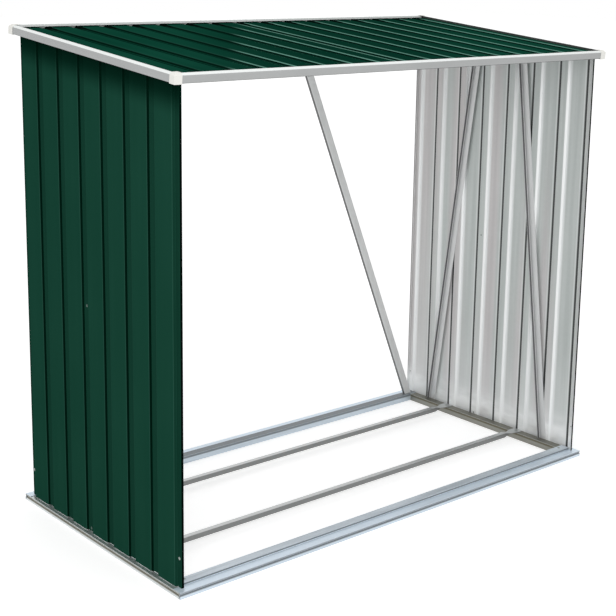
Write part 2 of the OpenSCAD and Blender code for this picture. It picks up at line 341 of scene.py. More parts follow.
@dataclass(frozen=True)
class Zinc(Finish):
    """Galvanised sheet with spangle, rolling streaks and a grey bloom, with painted highlights,
    painted shade and a painted reflection near the ground.

    Attributes:
        grain: streaks for each metre along X, Y and Z.
        light: colour of the bright crystals.
        dark: colour of the grey ones.
        bright: colour of the painted highlights on marked faces, bends and rib flanks, and of the
            painted reflection near the ground.
        shade_and_paint: colour of the painted shade on marked faces; on the screws, colour of the
            paint over them.
        tints: two casts that alternate across the sheet, or none.
        dim: heights over which the faces marked as grooves take on that painted shade.
        crystals: crystals along a metre.
        rough: mean roughness.
        metal: share of mirror shine over plain grey.
        rib_shadows: front-most painted shadow line behind a wall's rib, and their pitch, or none.
        rib_shadow_w: width of a painted shadow line.
        glint: distance of the painted highlight on a rib's front flank before its painted shadow line,
            and its half width.
        floor_reflection_height: height up to which the foot of a sheet carries a painted reflection in
            pale smears, or 0.
    """

    grain: Point = (40.0, 40.0, 40.0)
    light: Colour = (0.52, 0.54, 0.54)
    dark: Colour = (0.40, 0.42, 0.42)
    bright: Colour = (0.74, 0.77, 0.78)
    shade_and_paint: Colour = (0.13, 0.13, 0.125)
    tints: tuple[Colour, Colour] | None = None
    dim: tuple[float, float] = (0.016, 0.019)
    crystals: float = 110.0
    rough: float = 0.38
    metal: float = 0.85
    rib_shadows: tuple[float, float] | None = None
    rib_shadow_w: float = 0.010
    glint: tuple[float, float] = (0.034, 0.013)
    floor_reflection_height: float = 0.0

    # sizes of the patterns, in spots for each metre along X, Y and Z
    BLOOM = (3.0, 3.0, 2.0)
    CAST = (0.4, 11.0, 0.25)
    FLOOR_REFLECTION_SMEAR = (9.0, 9.0, 22.0)
    DENTS = (5.0, 5.0, 2.2)
    DENT_DEPTH = 0.004
    # colour of the painted shadow lines behind the ribs
    RIB_SHADOW = (0.022, 0.024, 0.024)

    def material(self) -> bpy.types.Material:
        """Makes the zinc.

        Returns:
            The material.
        """
        paint = Paint(self.name)
        crystals = paint.spangle(self.crystals)
        streaks = paint.noise(self.grain, 4.0)
        colour = self._sheet(paint, crystals, streaks)
        if self.floor_reflection_height:
            colour = self._floor_reflected(paint, colour)
        # painted shade on faces marked for shade, and on faces marked as grooves above the dim
        # heights; on screws the same mark is green paint
        rising = paint.ramp(paint.axis("Z"), *self.dim, 0.0, 1.0)
        shade_and_paint = paint.mark(Mark.SHADE_AND_PAINT) + paint.mark(Mark.GROOVE) * rising
        colour = paint.blend(shade_and_paint * (0.85 + 0.3 * streaks), colour, self.shade_and_paint)
        # painted highlight on the bends
        colour = paint.blend(0.3 * paint.mark(Mark.FOLD), colour, self.bright)
        if self.rib_shadows:
            colour = self._rib_highlights_and_shadows(paint, colour, streaks)
        rough = (self.rough - 0.08) + 0.10 * streaks + 0.04 * crystals + 0.12 * shade_and_paint
        relief = 0.9 * paint.noise(self.DENTS, 1.0) + 0.02 * streaks
        return paint.surface(
            {
                "Base Color": colour,
                "Metallic": self.metal,
                "Roughness": rough,
                "Normal": paint.bump(relief, self.DENT_DEPTH, 0.35),
            }
        )

    def _sheet(self, paint: Paint, crystals: Value, streaks: Value) -> Value:
        """Colour of the plain sheet, with painted highlights on the marked faces.

        Args:
            paint: the shader.
            crystals: tone of the crystals.
            streaks: tone of the rolling streaks.

        Returns:
            The colour.
        """
        lines = paint.ramp(streaks, 0.3, 0.7, 0.0, 1.0)
        bloom = paint.noise(self.BLOOM, 2.0)
        tone = (0.14 * crystals + 0.55 * lines + 0.45 * bloom - 0.07).clamp()
        colour = paint.blend(tone, self.dark, self.light)
        if self.tints:
            cast = paint.ramp(paint.noise(self.CAST, 1.0), 0.4, 0.6, 0.0, 1.0)
            colour = paint.blend(0.5, colour, paint.blend(cast, *self.tints))
        # painted highlight on the marked faces
        shine = paint.mark(Mark.SHINE) * (0.7 + 0.5 * streaks)
        return paint.blend(shine, colour, self.bright)

    def _floor_reflected(self, paint: Paint, colour: Value) -> Value:
        """Adds a painted reflection in pale smears near the ground.

        Args:
            paint: the shader.
            colour: colour of the sheet.

        Returns:
            The colour with the painted reflection.
        """
        height = paint.axis("Z")
        near = paint.ramp(height, 0.1 * self.floor_reflection_height, self.floor_reflection_height, 1.0, 0.0)
        low = paint.ramp(height, 0.1 * self.floor_reflection_height, 0.4 * self.floor_reflection_height, 1.0, 0.0)
        pale = 0.36 * near + low * (2.0 * paint.noise(self.FLOOR_REFLECTION_SMEAR, 3.0) - 0.45)
        return paint.blend(pale.clamp(), colour, self.bright)

    def _rib_highlights_and_shadows(self, paint: Paint, colour: Value, streaks: Value) -> Value:
        """Adds painted highlights on the ribs' front flanks and painted shadow lines behind the ribs.

        Args:
            paint: the shader.
            colour: colour of the sheet.
            streaks: tone of the rolling streaks.

        Returns:
            The colour with these painted highlights and shadow lines.
        """
        start, pitch = self.rib_shadows
        across = (paint.axis("Y") - start) % pitch
        middle, half = pitch - self.glint[0], self.glint[1]
        # painted highlight on each rib's front flank
        rise = paint.ramp(across, middle - 1.3 * half, middle - 0.3 * half, 0.0, 1.0)
        fall = paint.ramp(across, middle, middle + 0.5 * half, 1.0, 0.0)
        colour = paint.blend(rise * fall * (0.7 + 0.5 * streaks), colour, self.bright)
        wide = self.rib_shadow_w
        # a faint painted highlight beside each painted shadow line
        beside = (across + 0.5 * wide) % pitch
        rim_highlight = paint.ramp(beside, 1.9 * wide, 2.3 * wide, 1.0, 0.0)
        colour = paint.blend(0.35 * rim_highlight, colour, self.bright)
        # painted shadow line behind each rib
        shadow_line = paint.ramp(across, 0.75 * wide, 1.1 * wide, 1.0, 0.0)
        return paint.blend(0.96 * shadow_line, colour, self.RIB_SHADOW)


@dataclass(frozen=True)
class Lacquer(Finish):
    """Green lacquer on sheet, with painted shade in the grooves, and wear and painted highlights along
    the folds.

    Attributes:
        deep: darker lacquer.
        fresh: lighter lacquer.
        painted_shade: colour of the painted shade on the sides of the grooves, under the eaves and
            where the painted highlights start.
        wear_and_highlight: colour of the folds where wear and painted highlights show.
        shadow: colour of the edges that lie in the dark.
        wear_and_highlight_share: how much of that colour shows on a fold.
        gleam: place along X at Y 0 where the painted highlights on the folds start, and its move along
            Y, or none.
        gleam_shade: how dark the painted shade is where those highlights start.
        lap_highlight: place and width along X of a painted highlight beside a lap, or none.
        lee: place along Y from which an edge shades the sheet, and how much sooner it shades
            the grooves, or none.
        run: streaks for each metre along X, Y and Z.
        eaves: height of the shade under the roof at Y 0 and its slope, or none.
        shade: depth of that shade.
    """

    deep: Colour = (0.0060, 0.045, 0.028)
    fresh: Colour = (0.0125, 0.065, 0.042)
    painted_shade: Colour = (0.0006, 0.011, 0.006)
    wear_and_highlight: Colour = (0.085, 0.23, 0.18)
    shadow: Colour = (0.0012, 0.0040, 0.0030)
    wear_and_highlight_share: float = 0.12
    gleam: tuple[float, float] | None = None
    gleam_shade: float = 0.42
    lap_highlight: tuple[float, float] | None = None
    lee: tuple[float, float] | None = None
    run: Point = (26.0, 26.0, 1.4)
    eaves: tuple[float, float] | None = None
    shade: float = 0.105

    # sizes of the patterns, in spots for each metre along X, Y and Z
    CLOUD = (2.2, 2.2, 2.2)
    PEEL = (420.0, 420.0, 420.0)
    DENTS = (4.0, 4.0, 2.0)
    DENT_DEPTH = 0.003
    # how far past the gleam's start the painted highlights come on and the painted shade comes and
    # goes
    LIT = (-0.04, 0.04)
    GLEAM_SHADE_RISE = (-0.3, 0.15)
    GLEAM_SHADE_FALL = (0.6, 1.2)
    LAP_HIGHLIGHT_EDGE = 0.001
    LEE_EDGE = 0.015

    def material(self) -> bpy.types.Material:
        """Makes the lacquer.

        Returns:
            The material.
        """
        paint = Paint(self.name)
        runs = paint.noise(self.run, 3.0)
        tone = (0.7 * paint.noise(self.CLOUD, 2.0) + 0.5 * runs - 0.1).clamp()
        colour = paint.blend(tone, self.deep, self.fresh)
        # painted shade in the grooves
        groove = paint.mark(Mark.GROOVE)
        colour = paint.blend(groove, colour, self.painted_shade)
        # wear and painted highlight along the folds
        shown = self.wear_and_highlight_share * paint.mark(Mark.FOLD) * (0.6 + 0.8 * runs)
        if self.gleam:
            colour, shown = self._gleaming(paint, colour, shown)
        colour = paint.blend(shown.clamp(), colour, self.wear_and_highlight)
        colour = self._shaded(paint, colour, groove)
        relief = paint.noise(self.DENTS, 1.0) + 0.015 * paint.noise(self.PEEL, 2.0)
        return paint.surface(
            {
                "Base Color": colour,
                "Roughness": 0.46 + 0.14 * runs + 0.10 * groove,
                "Specular IOR Level": 0.0,
                "Normal": paint.bump(relief, self.DENT_DEPTH, 0.3),
            }
        )

    def _gleaming(self, paint: Paint, colour: Value, shown: Value) -> tuple[Value, Value]:
        """Keeps the painted highlights on the folds and beside the lap to one part of the sheet, with
        painted shade where they start.

        Args:
            paint: the shader.
            colour: colour of the sheet.
            shown: how much wear and painted highlight shows on the folds.

        Returns:
            The colour, with painted shade where the highlights start, and the wear and highlight that
            show.
        """
        start, move = self.gleam
        past = paint.axis("X") - move * paint.axis("Y") - start
        lit = paint.ramp(past, *self.LIT, 0.05, 1.0)
        rise = paint.ramp(past, *self.GLEAM_SHADE_RISE, 0.0, 1.0)
        gleam_shade = rise * paint.ramp(past, *self.GLEAM_SHADE_FALL, self.gleam_shade, 0.0)
        if self.lap_highlight:
            place, width = self.lap_highlight
            off = (paint.axis("X") - place) % FAR
            shown = shown + paint.ramp(off, width, width + self.LAP_HIGHLIGHT_EDGE, 1.0, 0.0)
        return paint.blend(gleam_shade, colour, self.painted_shade), shown * lit

    def _shaded(self, paint: Paint, colour: Value, groove: Value) -> Value:
        """Adds painted shade: on the dark edges, and where other pieces shade the sheet.

        Args:
            paint: the shader.
            colour: colour of the sheet.
            groove: mark of the grooves.

        Returns:
            The colour with its shades.
        """
        colour = paint.blend(paint.mark(Mark.SHADE_AND_PAINT), colour, self.shadow)
        if self.lee:
            start, sooner = self.lee
            back = paint.axis("Y") + sooner * groove
            dark = paint.ramp(back, start, start + self.LEE_EDGE, 0.0, 0.95)
            colour = paint.blend(dark, colour, self.shadow)
        if self.eaves:
            below = self.eaves[0] + self.eaves[1] * paint.axis("Y") - paint.axis("Z")
            dim = paint.ramp(below, 0.3 * self.shade, self.shade, 0.85, 0.0)
            colour = paint.blend(dim, colour, self.painted_shade)
        return colour


@dataclass(frozen=True)
class PaleTrim(Finish):
    """Pale lacquered edge trim with a faint brushed cast, a painted highlight where it looks up and
    painted shade on its lower bend.

    Attributes:
        light: colour of its face.
        dark: colour of the clouds on its face.
        top: colour of the painted highlight where it looks up, and on an inner edge in the light.
        low: colour of the painted shade on its lower bend and on an inner edge in the dark.
    """

    light: Colour = (0.47, 0.48, 0.48)
    dark: Colour = (0.37, 0.38, 0.38)
    top: Colour = (0.88, 0.91, 0.90)
    low: Colour = (0.045, 0.05, 0.048)

    # sizes of the patterns, in spots for each metre along X, Y and Z
    CLOUD = (5.0, 5.0, 30.0)
    SPECKS = (160.0, 160.0, 160.0)
    SPECK_DEPTH = 0.0005

    def material(self) -> bpy.types.Material:
        """Makes the trim's lacquer.

        Returns:
            The material.
        """
        paint = Paint(self.name)
        cloud = paint.noise(self.CLOUD, 3.0)
        specks = paint.noise(self.SPECKS, 2.0)
        tone = (0.8 * cloud + 0.25 * specks - 0.05).clamp()
        colour = paint.blend(tone, self.dark, self.light)
        # painted highlight where it looks up
        shine = paint.mark(Mark.SHINE) * (0.85 + 0.2 * specks)
        colour = paint.blend(shine, colour, self.top)
        # painted shade on the lower bend and dark inner edges
        colour = paint.blend(paint.mark(Mark.SHADE_AND_PAINT), colour, self.low)
        return paint.surface(
            {
                "Base Color": colour,
                "Roughness": 0.40 + 0.14 * cloud,
                "Specular IOR Level": 0.3,
                "Normal": paint.bump(specks, self.SPECK_DEPTH, 0.15),
            }
        )


@dataclass(frozen=True)
class CapPlastic(Finish):
    """Moulded white plastic with a fine matt texture.

    Attributes:
        white: its main colour.
        cream: colour of its clouds.
    """

    white: Colour = (0.88, 0.875, 0.84)
    cream: Colour = (0.76, 0.75, 0.69)

    # sizes of the patterns, in spots for each metre along X, Y and Z
    CLOUD = (40.0, 40.0, 40.0)
    STIPPLE = (1500.0, 1500.0, 1500.0)
    STIPPLE_DEPTH = 0.0003

    def material(self) -> bpy.types.Material:
        """Makes the plastic.

        Returns:
            The material.
        """
        paint = Paint(self.name)
        cloud = paint.noise(self.CLOUD, 2.0)
        stipple = paint.noise(self.STIPPLE, 1.0)
        return paint.surface(
            {
                "Base Color": paint.blend(0.6 * cloud, self.white, self.cream),
                "Roughness": 0.48 + 0.12 * stipple,
                "Normal": paint.bump(stipple, self.STIPPLE_DEPTH, 0.3),
            }
        )


def new_object(name: str, data: bpy.types.ID) -> bpy.types.Object:
    """Puts a new object into the scene.

    Args:
        name: the object's name.
        data: its mesh, lamp or lens.

    Returns:
        The object.
    """
    made = bpy.data.objects.new(name, data)
    bpy.context.scene.collection.objects.link(made)
    return made


@dataclass(frozen=True)
class Patch:
    """Faces of a piece that carry a mark.

    Attributes:
        mark: the mark that they carry.
        facing: direction that they look in.
        amount: the mark's value on them.
        spread: how far they may turn from that direction, degrees.
        low: lowest corner of the space that their middles lie in.
        high: highest corner of that space.
        sunk: how far below the piece's outermost face they lie at least.
    """

    mark: Mark
    facing: Point
    amount: float
    spread: float = 25.0
    low: Point = (-FAR, -FAR, -FAR)
    high: Point = (FAR, FAR, FAR)
    sunk: float = 0.0

    def covers(self, face: bmesh.types.BMFace, depth: float) -> bool:
        """Tells whether a face carries the mark.

        Args:
            face: a face of a piece.
            depth: how far below the outermost face it lies.

        Returns:
            True if it looks the right way and lies in the space.
        """
        middle = face.calc_center_median()
        corners = zip(middle, self.low, self.high)
        if depth < self.sunk or any(not low <= part <= high for part, low, high in corners):
            return False
        return face.normal.angle(Vector(self.facing), math.pi) <= math.radians(self.spread)


@dataclass
class FoldedPiece:
    """A copy of a frame node with rounded bends and a finish on each side.

    Attributes:
        node: the frame node that it stands for.
        slot: the record's material slot; not used.
        outside: material of the faces that look outwards.
        inside: material of all other faces, or none where there is one finish.
        outward: direction that counts as outside.
        bend: how far a bend reaches to each side of a sharp fold.
        shortest: folds shorter than this stay sharp.
        wear_and_highlight_depth: bends further below the outermost face than this get no wear or
            painted highlight, and keep their colour.
        patches: faces that carry marks; a later patch goes over an earlier one.
        segments: steps in a bend.
    """

    node: str
    slot: Slot
    outside: bpy.types.Material
    inside: bpy.types.Material | None = None
    outward: Vector = field(default_factory=lambda: Vector(UP))
    bend: float = 0.0012
    shortest: float = 0.2
    wear_and_highlight_depth: float = FAR
    patches: tuple[Patch, ...] = ()
    segments: int = 3

    SHARP = math.radians(20.0)
    FLAT = math.radians(0.5)
    FACING = 0.25
    FACE_MARKS = (Mark.FOLD, Mark.GROOVE, Mark.SHADE_AND_PAINT, Mark.SHINE, Mark.OUTSIDE)

    def build(self) -> bpy.types.Object:
        """Makes the piece.

        Returns:
            The object, riding on the frame.
        """
        cells = bmesh.new()
        cells.from_mesh(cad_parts[self.node].data)
        layers = {mark: cells.faces.layers.float.new(mark.value) for mark in self.FACE_MARKS}
        bmesh.ops.remove_doubles(cells, verts=cells.verts, dist=MERGE)
        bmesh.ops.dissolve_limit(
            cells, angle_limit=self.FLAT, verts=cells.verts, edges=cells.edges
        )
        cells.normal_update()
        folds = [edge for edge in cells.edges if self._is_fold(edge)]
        rounded = bmesh.ops.bevel(
            cells,
            geom=folds,
            offset=self.bend,
            offset_type="OFFSET",
            segments=self.segments,
            profile=0.5,
            affect="EDGES",
            clamp_overlap=False,
        )["faces"]
        self._dress(cells, layers, set(rounded))
        mesh = bpy.data.meshes.new(self.node)
        cells.to_mesh(mesh)
        cells.free()
        mesh.materials.append(self.outside)
        if self.inside:
            mesh.materials.append(self.inside)
        piece = new_object(f"dressed_{self.node}", mesh)
        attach(piece, BODY)
        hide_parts(self.node)
        return piece

    def _is_fold(self, edge: bmesh.types.BMEdge) -> bool:
        """Tells a fold from a cut edge.

        Args:
            edge: an edge of the merged mesh.

        Returns:
            True where two broad faces meet at an angle along a long edge.
        """
        length = edge.calc_length()
        if length < self.shortest or len(edge.link_faces) != 2:
            return False
        if edge.calc_face_angle(0.0) < self.SHARP:
            return False
        return min(face.calc_area() for face in edge.link_faces) / length > 2.0 * self.bend

    def _dress(
        self,
        cells: bmesh.types.BMesh,
        layers: dict[Mark, bmesh.types.BMLayerItem],
        rounded: set[bmesh.types.BMFace],
    ) -> None:
        """Sets each face's side, marks and shading.

        Args:
            cells: the mesh with its bends.
            layers: where the marks are kept.
            rounded: the faces of the bends.
        """
        top = max(vert.co.dot(self.outward) for vert in cells.verts)
        for face in cells.faces:
            face.smooth = face in rounded
            depth = top - face.calc_center_median().dot(self.outward)
            # bends near the outermost face are marked for wear and painted highlight
            if face in rounded and depth < self.wear_and_highlight_depth:
                face[layers[Mark.FOLD]] = 1.0
            for patch in self.patches:
                if patch.covers(face, depth):
                    face[layers[patch.mark]] = patch.amount
            turned = face.normal.dot(self.outward) < self.FACING
            if self.inside and turned and not face[layers[Mark.OUTSIDE]]:
                face.material_index = 1


@dataclass
class Palette:
    """The materials that the sub-assemblies share.

    Attributes:
        rib_shadows: front-most painted shadow line behind a rib of the walls, and their pitch.
        eaves: height of the walls at Y 0 and the slope of their top.
        lap_highlight: place and width along X of the painted highlight beside the roof's lap.
        lee: place along Y where the back trim shades the roof, and how much sooner in grooves.
    """

    rib_shadows: tuple[float, float]
    eaves: tuple[float, float]
    lap_highlight: tuple[float, float]
    lee: tuple[float, float]

    def __post_init__(self) -> None:
        """Makes every material once."""
        self.long_zinc = Zinc(
            "long_rail_zinc",
            grain=(4.0, 60.0, 60.0),
            light=(0.66, 0.70, 0.73),
            dark=(0.25, 0.275, 0.295),
            bright=(0.74, 0.85, 0.955),
            shade_and_paint=(0.155, 0.175, 0.19),
            metal=0.4,
        ).material()
        self.side_zinc = Zinc(
            "side_rail_zinc", grain=(60.0, 4.0, 60.0), shade_and_paint=(0.15, 0.14, 0.10)
        ).material()
        self.floor_zinc = Zinc(
            "floor_rail_zinc", grain=(4.0, 60.0, 60.0), bright=(0.62, 0.63, 0.63)
        ).material()
        self.brace_zinc = Zinc(
            "brace_zinc",
            grain=(60.0, 60.0, 4.0),
            light=(0.70, 0.71, 0.71),
            dark=(0.58, 0.59, 0.59),
            bright=(0.92, 0.92, 0.92),
            shade_and_paint=(0.14, 0.14, 0.145),
            metal=0.4,
        ).material()
        self.wall_zinc = Zinc(
            "wall_zinc",
            grain=(50.0, 50.0, 1.6),
            light=(0.68, 0.685, 0.68),
            dark=(0.43, 0.445, 0.44),
            bright=(0.90, 0.915, 0.915),
            tints=((0.585, 0.545, 0.55), (0.50, 0.56, 0.54)),
            rough=0.5,
            metal=0.35,
            rib_shadows=self.rib_shadows,
            floor_reflection_height=0.40,
        ).material()
        self.roof_zinc = Zinc("roof_zinc", grain=(50.0, 1.6, 50.0)).material()
        self.screw_zinc = Zinc(
            "screw_zinc",
            light=(0.42, 0.46, 0.44),
            dark=(0.28, 0.32, 0.30),
            shade_and_paint=(0.035, 0.085, 0.065),
            rough=0.36,
        ).material()
        self.wall_green = Lacquer("wall_green", eaves=self.eaves).material()
        self.roof_green = Lacquer(
            "roof_green",
            deep=(0.0014, 0.036, 0.021),
            fresh=(0.0073, 0.072, 0.045),
            painted_shade=(0.0004, 0.009, 0.005),
            wear_and_highlight=(0.13, 0.30, 0.24),
            run=(26.0, 1.4, 26.0),
            wear_and_highlight_share=0.9,
            gleam=(-0.34, 0.78),
            lap_highlight=self.lap_highlight,
            lee=self.lee,
        ).material()
        self.trim = PaleTrim("trim_lacquer").material()
        self.cap = CapPlastic("cap_plastic").material()


@dataclass
class BaseFrame:
    """Base rails and floor rails.

    Attributes:
        palette: the shared materials.
        ledge: height between the ledge and the flange of a rail.
        bead: heights that the bead lies between.
        neck: heights of the strip between the bead and the ledge.
        bend: how far a bend reaches.
    """

    palette: Palette
    ledge: float = 0.0215
    bead: tuple[float, float] = (0.004, 0.018)
    neck: tuple[float, float] = (0.0165, 0.0199)
    bend: float = 0.0011

    def build(self) -> list[bpy.types.Object]:
        """Makes the rails.

        Returns:
            The pieces.
        """
        palette = self.palette
        # each rail: its zinc, its outer direction, and how much painted shade lies on its inner flange
        # and on its inner lip
        rails = {
            "base_rail_front": (palette.long_zinc, (0.0, -1.0), 0.0, 0.0),
            "base_rail_back": (palette.long_zinc, (0.0, 1.0), 0.85, 0.0),
            "base_rail_left": (palette.side_zinc, (-1.0, 0.0), 0.8, 0.75),
            "base_rail_right": (palette.side_zinc, (1.0, 0.0), 0.8, 0.75),
        }
        pieces = [
            FoldedPiece(
                name,
                Slot.ZINC,
                zinc,
                bend=self.bend,
                patches=self._rail_patches(out, flange_shade, lip_shade),
            ).build()
            for name, (zinc, out, flange_shade, lip_shade) in rails.items()
        ]
        # painted highlight on the floor rails' tops, painted shade on their front and back sides
        sides = (
            Patch(Mark.SHINE, UP, 0.8),
            Patch(Mark.SHADE_AND_PAINT, FRONT, 0.68),
            Patch(Mark.SHADE_AND_PAINT, BACK, 0.68),
        )
        for name in ("floor_rail_front", "floor_rail_back"):
            pieces.append(
                FoldedPiece(
                    name, Slot.ZINC, palette.floor_zinc, bend=self.bend, patches=sides
                ).build()
            )
        return pieces

    def _rail_patches(
        self, out: tuple[float, float], flange_shade: float, lip_shade: float
    ) -> tuple[Patch, ...]:
        """Marks of a base rail: painted highlights and painted shade on its faces.

        Args:
            out: direction of its outer face along X and Y.
            flange_shade: how much painted shade lies on its inner flange and on the top of its inner
                lip.
            lip_shade: how much painted shade lies on the whole of its inner lip.

        Returns:
            The patches.
        """
        outer = (out[0], out[1], 0.0)
        inner = (-out[0], -out[1], 0.0)
        low, high = self.bead
        bead_low = (-FAR, -FAR, low)
        bead_high = (FAR, FAR, high)
        neck_low = (-FAR, -FAR, self.neck[0])
        neck_high = (FAR, FAR, self.neck[1])
        flange = (-FAR, -FAR, self.ledge)
        # painted highlights on its faces, ledge and flange; painted shade on its inner lip, bead,
        # neck, upper outer face and flange
        return (
            Patch(Mark.SHINE, outer, 0.75),
            Patch(Mark.SHINE, inner, 0.7),
            Patch(Mark.GROOVE, inner, flange_shade),
            Patch(Mark.SHADE_AND_PAINT, inner, lip_shade),
            Patch(Mark.SHADE_AND_PAINT, (out[0], out[1], 1.0), 0.9, 40.0, bead_low, bead_high),
            Patch(Mark.SHADE_AND_PAINT, (out[0], out[1], -1.0), 1.0, 40.0, bead_low, bead_high),
            Patch(Mark.SHADE_AND_PAINT, outer, 0.6, low=neck_low, high=neck_high),
            Patch(Mark.SHADE_AND_PAINT, outer, 1.0, low=flange),
            Patch(Mark.SHINE, UP, 1.0, high=(FAR, FAR, self.ledge)),
            Patch(Mark.SHINE, UP, 0.45 - 0.45 * flange_shade, low=flange),
            Patch(Mark.SHADE_AND_PAINT, UP, flange_shade, low=flange),
        )


@dataclass
class Walls:
    """Side walls with their braces, and the brace across the open back.

    Attributes:
        palette: the shared materials.
        side: how the sides of a groove look, outwards and along the wall.
        strip: the upright edges of a wall lie further out along Y than this.
        sunk: faces further below the pans than this are floors of grooves.
        leg: how far behind a brace's broad leg its narrow leg starts.
        bend: how far a bend of a sheet reaches.
        wear_and_highlight_depth: bends deeper than this get no wear or painted highlight.
    """

    palette: Palette
    side: tuple[float, float] = (0.56, 0.83)
    strip: float = 0.36
    sunk: float = 0.004
    leg: float = 0.002
    bend: float = 0.0014
    wear_and_highlight_depth: float = 0.003

    def build(self) -> list[bpy.types.Object]:
        """Makes the walls and braces.

        Returns:
            The pieces.
        """
        pieces = []
        for side, out in (("left", Vector(LEFT)), ("right", Vector(RIGHT))):
            pieces.append(
                FoldedPiece(
                    f"wall_{side}",
                    Slot.LACQUER,
                    self.palette.wall_green,
                    self.palette.wall_zinc,
                    outward=out,
                    bend=self.bend,
                    wear_and_highlight_depth=self.wear_and_highlight_depth,
                    patches=self._wall_patches(out.x),
                ).build()
            )
            for end in ("front", "back"):
                pieces.append(self._brace(f"wall_brace_{side}_{end}", out))
        pieces.append(self._brace("back_brace", Vector(FRONT)))
        return pieces

    def _brace(self, name: str, out: Vector) -> bpy.types.Object:
        """Makes a brace with painted shade on its narrow leg and a painted highlight on the faces that
        look the way of out.

        Args:
            name: the frame node.
            out: direction from the narrow leg's free edge to the broad leg.

        Returns:
            The piece.
        """
        low, high = (corner.copy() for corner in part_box(name))
        high -= self.leg * Vector((max(out.x, 0.0), max(out.y, 0.0), 0.0))
        low -= self.leg * Vector((min(out.x, 0.0), min(out.y, 0.0), 0.0))
        along = Vector((out.y, out.x, 0.0))
        # painted shade on the narrow leg's faces
        legs = tuple(
            Patch(Mark.SHADE_AND_PAINT, tuple(way * along), 1.0, 40.0, tuple(low), tuple(high))
            for way in (-1.0, 1.0)
        )
        # painted highlight on the faces that look the way of out
        faces = (Patch(Mark.SHINE, tuple(out), 0.8, 15.0), *legs)
        return FoldedPiece(name, Slot.ZINC, self.palette.brace_zinc, patches=faces).build()

    def _wall_patches(self, out: float) -> tuple[Patch, ...]:
        """Marks of a wall: painted shade in its grooves and on its end lips, painted highlights on its
        inner flanks, and the lacquer on those lips.

        Args:
            out: -1 for the left wall, 1 for the right one.

        Returns:
            The patches.
        """
        low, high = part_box("wall_left" if out < 0.0 else "wall_right")
        lip_front = (FAR, low.y + TOUCH, FAR)
        lip_back = (-FAR, high.y - TOUCH, -FAR)
        across, along = self.side
        front = (out * across, -along, 0.0)
        back = (out * across, along, 0.0)
        inside = (-out * across, -along, 0.0)
        inner_low = (-FAR, -self.strip, -FAR)
        inner_high = (FAR, self.strip, FAR)
        strip_front = (FAR, -self.strip, FAR)
        strip_back = (-FAR, self.strip, -FAR)
        # painted shade on groove sides and floors, lighter at the upright edges; painted highlight on
        # the inner flanks; the end lips lacquered, with painted shade
        return (
            Patch(Mark.GROOVE, front, 1.0),
            Patch(Mark.GROOVE, back, 1.0),
            Patch(Mark.GROOVE, front, 0.3, high=strip_front),
            Patch(Mark.GROOVE, back, 0.3, low=strip_back),
            Patch(Mark.GROOVE, (out, 0.0, 0.0), 0.3, 15.0, sunk=self.sunk),
            Patch(Mark.GROOVE, (out, 0.0, 0.0), 0.22, 15.0, inner_low, inner_high, self.sunk),
            Patch(Mark.SHINE, inside, 1.0),
            Patch(Mark.OUTSIDE, FRONT, 1.0, high=lip_front),
            Patch(Mark.OUTSIDE, BACK, 1.0, low=lip_back),
            Patch(Mark.SHADE_AND_PAINT, FRONT, 1.0, high=lip_front),
            Patch(Mark.SHADE_AND_PAINT, BACK, 1.0, low=lip_back),
        )


